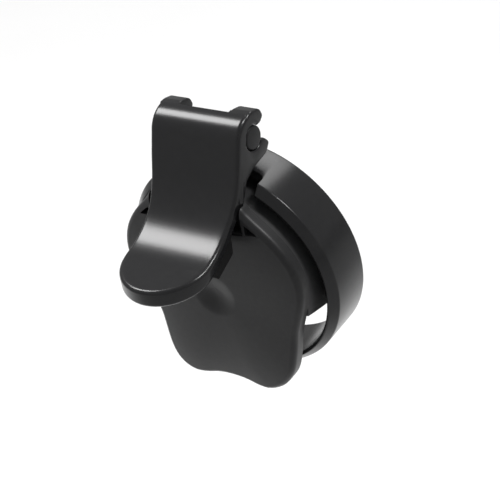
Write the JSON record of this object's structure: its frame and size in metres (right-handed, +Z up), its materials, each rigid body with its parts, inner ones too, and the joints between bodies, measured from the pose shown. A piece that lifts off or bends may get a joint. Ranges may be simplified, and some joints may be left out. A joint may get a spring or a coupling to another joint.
{
  "type": "clicker trainer",
  "caption": "Fingertip clicker for pet training: a broad curved thumb lever hinged on a pin above a round collar, with a shield-shaped cover over a snap-plate click mechanism.",
  "frame": {"origin": "on the collar's axis at its back face, the mouth of the finger socket", "axes": "+X right along the hinge pin, +Y back along the collar's axis out of the socket, +Z up to the hinge; the lever and cover face -Y"},
  "size_m": [0.027, 0.0209, 0.0338],
  "materials": {
    "ring_plastic": "semi-gloss black",
    "housing_plastic": "semi-gloss black",
    "cover_plastic": "satin black",
    "lever_plastic": "semi-gloss black",
    "black_metal": "black oxide",
    "screw_steel": "satin",
    "frame_steel": "satin",
    "spring_steel": "bright",
    "brass": "satin",
    "black_rubber": "matt"
  },
  "bodies": {
    "housing": {"outer_ring": "ring_plastic", "rear_housing": "housing_plastic", "front_cover": "cover_plastic", "hinge_bracket": "black_metal", "hinge_pin": "black_metal", "bracket_screws": "screw_steel", "housing_screws": "screw_steel", "striker_bush": "brass", "click_plate": "spring_steel", "click_frame": "frame_steel", "click_rivets": "brass", "return_spring": "spring_steel"},
    "lever": {"thumb_lever": "lever_plastic", "lever_pad": "black_rubber"},
    "striker": {"striker": "lever_plastic"}
  },
  "joints": [
    {"name": "lever_press", "type": "hinge", "parent": "housing", "child": "lever", "pos_m": [0, -0.00398, 0.017], "axis": [1, 0, 0], "range_deg": [0, 4], "stiffness_Nm_per_rad": 0.1, "springref_deg": -17.19, "deforming": ["return_spring"]},
    {"name": "striker_slide", "type": "slide", "parent": "housing", "child": "striker", "axis": [0, 1, 0], "range_m": [0, 0.0007], "deforming": ["click_plate"]}
  ],
  "couplings": [
    {"joint": "striker_slide", "follows": "lever_press", "m_per_rad": 0.0094}
  ]
}
